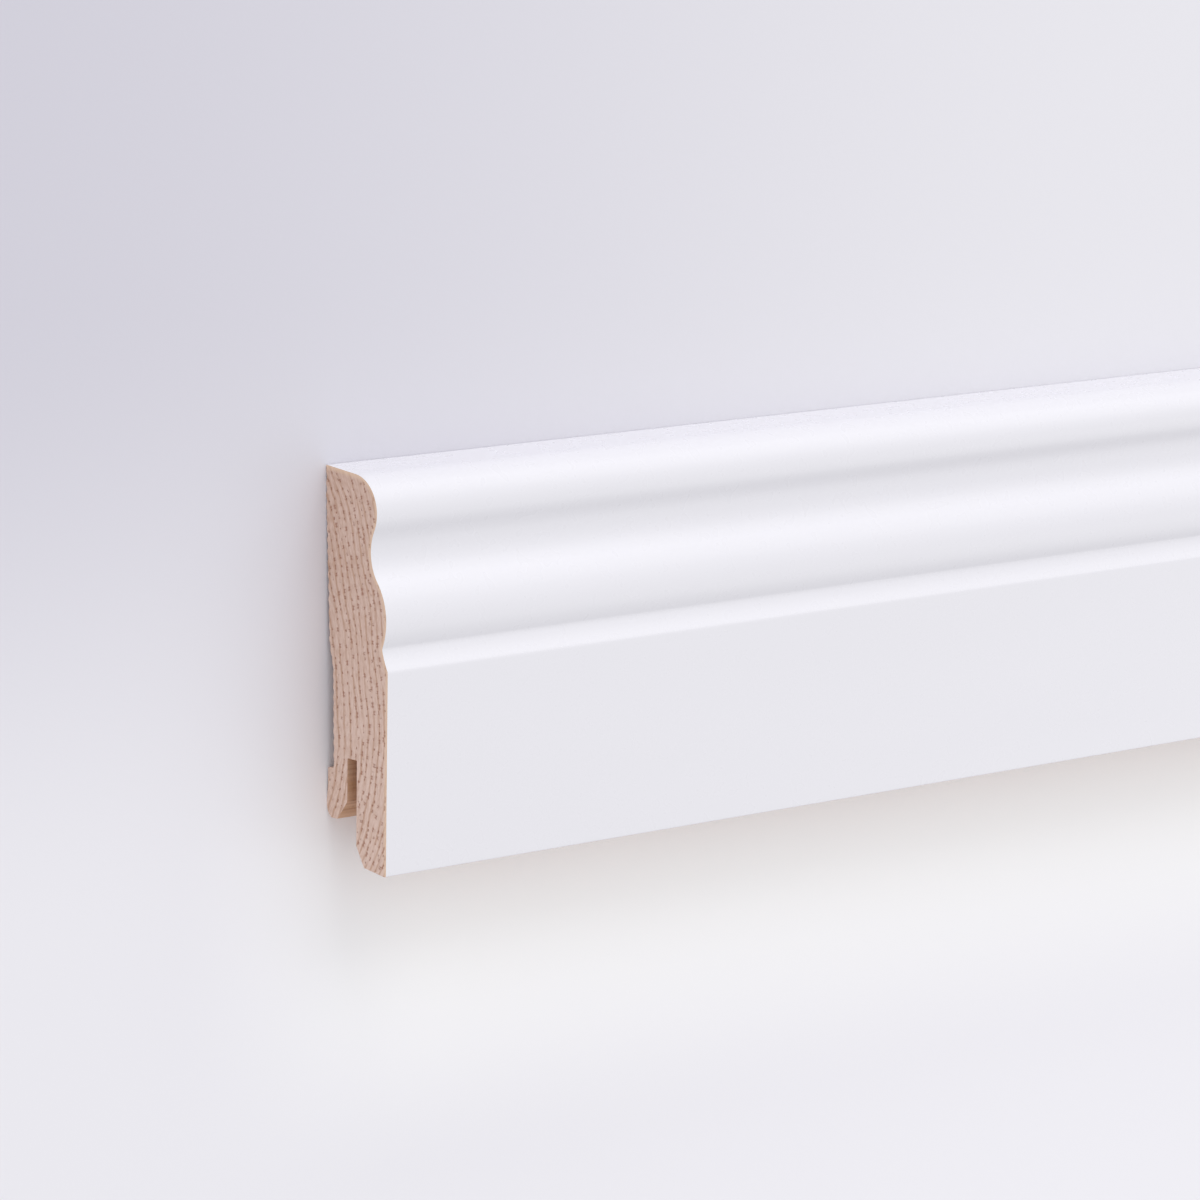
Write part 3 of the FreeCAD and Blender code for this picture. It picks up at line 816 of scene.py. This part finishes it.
def sawn_end_grain(look):
    """Hardwood sawn across: pores in rows, browner wood beside them, fibre bundles and a pale rim."""
    material = bpy.data.materials.new("sawn_end_grain")
    add = emptied(material)
    ring, in_pore, under_lacquer = (
        add("ShaderNodeAttribute", {}, attribute_name=name)["Fac"]
        for name in ("growth_ring", "open_pore", "under_lacquer")
    )
    place = add("ShaderNodeTexCoord", {})["Object"]
    height = add("ShaderNodeSeparateXYZ", {"Vector": place})["Y"]
    # Radial distance and a quarter of the height: patterns on these run along the rings.
    ring_width = 1.75 * MM
    outward, upward = summed(add, 0.0, (ring, ring_width)), summed(add, 0.0, (height, 0.25))
    along_ring = add("ShaderNodeCombineXYZ", {"X": outward, "Y": upward})["Vector"]
    # Bundles of fibres, about 0.5 mm across
    inputs = {"Vector": along_ring, "Scale": 0.5 / (0.24 * MM), "Detail": 2, "Roughness": 0.6}
    bundles = add("ShaderNodeTexNoise", inputs)["Fac"]
    # Browner wood beside each row of pores, with a ragged edge
    ragged = lumps(add, 1, 0.6 * MM)
    ragged_ring = summed(add, -0.15, (ragged, 0.3), (ring, 1.0))
    off_row = add("ShaderNodeMath", {0: ragged_ring, 1: 0.5}, operation="PINGPONG")[0]
    beside = add("ShaderNodeMapRange", {0: off_row, 1: 0.22, 2: 0.05}, **EASED)[0]
    # It comes and goes along the row, in lumps about 1.4 mm wide and four times as long.
    runs = add("ShaderNodeTexNoise", {"Vector": along_ring, "Scale": 0.5 / (1.4 * MM), "Detail": 1})["Fac"]
    strength = add("ShaderNodeMapRange", {0: runs, 1: 0.32, 2: 0.62, 3: 0.1, 4: 1.0}, **EASED)[0]
    early = add("ShaderNodeMath", {0: beside, 1: strength}, operation="MULTIPLY")[0]
    patches = lumps(add, 1, 4 * MM)
    # Darker towards the top edge.
    topward = add("ShaderNodeMapRange", {0: height, 1: -0.005, 2: 0.04, 4: 0.14}, **EASED)[0]
    deep = summed(add, topward, (early, 0.6), (bundles, 1.1), (patches, 0.3))
    deep = add("ShaderNodeMapRange", {0: deep, 1: 0.35, 2: 1.35}, **EASED)[0]
    # Small late pores, one fleck in each cell 0.62 mm wide
    cells = add("ShaderNodeTexVoronoi", {"Vector": place, "Scale": 1 / (0.62 * MM)})["Distance"]
    fleck = add("ShaderNodeMapRange", {0: cells, 1: 0.2, 2: 0.08, 4: 0.2}, **EASED)[0]
    pore = add("ShaderNodeMapRange", {0: in_pore, 1: 0.1, 2: 0.9, 4: 0.85}, **EASED)[0]
    rim = summed(add, 0.0, (under_lacquer, 0.75))
    wood = layered(add, look.wood_pale, (deep, look.wood_deep), (fleck, look.pore), (pore, look.pore))
    wood = layered(add, wood, (rim, look.rim))
    rough = add("ShaderNodeMapRange", {0: bundles, 1: 0.3, 2: 0.7, 3: 0.75, 4: 0.9}, **EASED)[0]
    surface(add, wood, rough, ior=1.5, relief=summed(add, bundles, (fleck, -1.0)), depth=0.05 * MM)
    return material


# The stage

def hang(light, place, target):
    """Puts a light at a place, turned to a target, and returns its object."""
    lamp = bpy.data.objects.new(light.name, light)
    lamp.location = place
    lamp.rotation_euler = (Vector(target) - Vector(place)).to_track_quat("-Z", "Y").to_euler()
    bpy.context.scene.collection.objects.link(lamp)
    return lamp


def broad_lamp(name, turn, rise, width, strength):
    """A round soft lamp so far off that it lights the whole floor alike, as a sun with a wide disc does.

    Its direction is turned by an angle from the top edge's side towards the far end and rises by an
    angle from the floor, and its width is the angle that it fills, all in degrees.
    """
    light = bpy.data.lights.new(name, "SUN")
    light.angle = math.radians(width)
    light.energy = strength
    turned, risen = math.radians(turn), math.radians(rise)
    level = math.cos(risen)
    # Only a sun's direction counts, so it stands just 3 m off.
    place = Vector((math.sin(turned) * level, math.cos(turned) * level, math.sin(risen))) * 3
    hang(light, place, (0, 0, 0))


def soft_lamp(name, place, target, wide, high, power):
    """A rectangular soft lamp that is turned to a target, which the camera doesn't see."""
    light = bpy.data.lights.new(name, "AREA")
    light.shape = "RECTANGLE"
    light.size, light.size_y = wide, high
    light.energy = power
    hang(light, place, target).visible_camera = False


def matt_floor(look):
    """Matt white paper, with painted light and shade: painted light in front of the foot to lift the board's
    shadow, and painted shade past the near end and behind the top edge.
    """
    material = bpy.data.materials.new("matt_paper_floor")
    add = emptied(material)
    place = add("ShaderNodeTexCoord", {})["Object"]
    axes = add("ShaderNodeSeparateXYZ", {"Vector": place})
    off_centre = add("ShaderNodeMath", {0: axes["X"]}, operation="ABSOLUTE")[0]
    near_end = (-1.2, 0, 0)
    from_end = add("ShaderNodeVectorMath", {0: place, 1: near_end}, operation="DISTANCE")["Value"]
    # Where each change starts and ends, in metres along and across the board
    shade_past_end, shade_behind_top, up_to_foot, before_foot, in_length, far_off = (
        add("ShaderNodeMapRange", {0: measure, 1: start, 2: end}, **EASED)[0]
        for measure, start, end in (
            (axes["X"], -1.0, -1.38),
            (axes["Y"], -0.05, 0.08),
            (axes["Y"], -0.11, -0.055),
            (axes["Y"], -0.005, -0.045),
            (off_centre, 1.29, 1.22),
            (from_end, 0.28, 1.1),
        )
    )
    # Painted light: a strip in front of the foot, along the board, made whiter to lift the board's shadow
    # there.
    strip = add("ShaderNodeMath", {0: up_to_foot, 1: before_foot}, operation="MULTIPLY")[0]
    painted_light_in_front = add("ShaderNodeMath", {0: strip, 1: in_length}, operation="MULTIPLY")[0]
    # Painted shade: the paper darkens past the near end and behind the top edge.
    by_foot = layered(add, look.floor_foot, (shade_past_end, look.floor_corner_shade))
    by_top = layered(add, look.floor_top, (shade_past_end, look.floor_painted_shade))
    # Far off it is of one tone.
    tone = layered(add, by_foot, (shade_behind_top, by_top), (painted_light_in_front, look.floor_painted_light), (far_off, look.floor_top))
    # Paper fibres, about 1.2 mm from lump to lump
    fibres = lumps(add, 1, 0.6 * MM)
    surface(add, tone, 0.9, ior=1.45, relief=fibres, depth=0.01 * MM)
    return material


def pale_surround(look):
    """A plain pale world that lights the board evenly, and is seen and mirrored in the floor's own tone."""
    world = bpy.data.worlds.new("pale_surround")
    add = emptied(world)
    rays = add("ShaderNodeLightPath", {})
    shown = {0: rays["Is Camera Ray"], 1: rays["Is Glossy Ray"]}
    share = add("ShaderNodeMath", shown, operation="MAXIMUM")[0]
    lit = add("ShaderNodeBackground", {"Color": (1, 1, 1, 1), "Strength": look.surround})[0]
    seen = add("ShaderNodeBackground", {"Color": look.floor_foot, "Strength": 1.0})[0]
    both = add("ShaderNodeMixShader", {0: share, 1: lit, 2: seen})[0]
    add("ShaderNodeOutputWorld", {"Surface": both})
    bpy.context.scene.world = world


# Operators

class BuildBoard(bpy.types.Operator):
    """Builds the skirting board length from its section and gives it its finishes"""

    bl_idname = "skirting.build_board"
    bl_label = "Skirting board length"

    def execute(self, context):
        size, look = context.scene.skirting_section, context.scene.skirting_wood
        mesh = board_mesh(size, look)
        for finish in (satin_lacquer, planed_hardwood, sawn_groove_and_mouth_shade, sawn_end_grain):
            mesh.materials.append(finish(look))
        board = bpy.data.objects.new(BOARD_PIECE, mesh)
        context.scene.collection.objects.link(board)
        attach(board, "root")
        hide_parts(BOARD_NODE)
        return {"FINISHED"}


class BuildStudio(bpy.types.Operator):
    """Builds the pale floor, the soft lamps and the camera"""

    bl_idname = "skirting.build_studio"
    bl_label = "Studio stage"

    def execute(self, context):
        scene, look = context.scene, context.scene.skirting_studio
        reach = 30.0
        floor_mesh = bpy.data.meshes.new("studio_floor")
        corners = [(-reach, -reach, 0), (reach, -reach, 0), (reach, reach, 0), (-reach, reach, 0)]
        floor_mesh.from_pydata(corners, [], [(0, 1, 2, 3)])
        floor_mesh.materials.append(matt_floor(look))
        floor = bpy.data.objects.new("studio_floor", floor_mesh)
        scene.collection.objects.link(floor)
        pale_surround(look)

        broad_lamp("edge_lamp", turn=8, rise=26, width=44, strength=look.edge_strength)
        broad_lamp("gloss_lamp", turn=48, rise=24, width=40, strength=look.gloss_strength)
        past_far_end, near_end = (1.5, -1.0, 1.9), (-1.0, 0, 0)
        soft_lamp("far_lamp", past_far_end, near_end, wide=1.4, high=1.4, power=look.far_power)

        lens = bpy.data.cameras.new("camera")
        lens.sensor_width = 36
        lens.lens = look.focal_length
        camera = bpy.data.objects.new("camera", lens)
        camera.location = look.camera_place
        camera.rotation_euler = look.camera_turn
        scene.collection.objects.link(camera)
        scene.camera = camera
        scene.view_settings.view_transform = "Standard"
        return {"FINISHED"}


class SkirtingPanel(bpy.types.Panel):
    """Lists the board, its sizes and finishes, and the stage"""

    bl_idname = "SKIRTING_PT_board"
    bl_label = "Skirting board length"
    bl_space_type = "VIEW_3D"
    bl_region_type = "UI"
    bl_category = "Skirting"

    def draw(self, context):
        scene, layout = context.scene, self.layout
        for operator, groups in (
            (BuildBoard, (scene.skirting_section, scene.skirting_wood)),
            (BuildStudio, (scene.skirting_studio,)),
        ):
            layout.operator(operator.bl_idname)
            for group in groups:
                box = layout.box()
                # The first two properties are Blender's own.
                for name in group.bl_rna.properties.keys()[2:]:
                    box.prop(group, name)


CLASSES = (MouldedSection, HardwoodLook, StudioLook, BuildBoard, BuildStudio, SkirtingPanel)
GROUPS = {"skirting_section": MouldedSection, "skirting_wood": HardwoodLook, "skirting_studio": StudioLook}


def register():
    """Adds the classes to Blender and the three groups of settings to its scenes."""
    for kind in CLASSES:
        bpy.utils.register_class(kind)
    for name, group in GROUPS.items():
        setattr(bpy.types.Scene, name, PointerProperty(type=group))


def unregister():
    """Takes out again what register adds."""
    for name in GROUPS:
        delattr(bpy.types.Scene, name)
    for kind in reversed(CLASSES):
        bpy.utils.unregister_class(kind)


def main():
    """Builds everything in order."""
    register()
    bpy.ops.skirting.build_board()
    bpy.ops.skirting.build_studio()


if __name__ == "__main__":
    main()
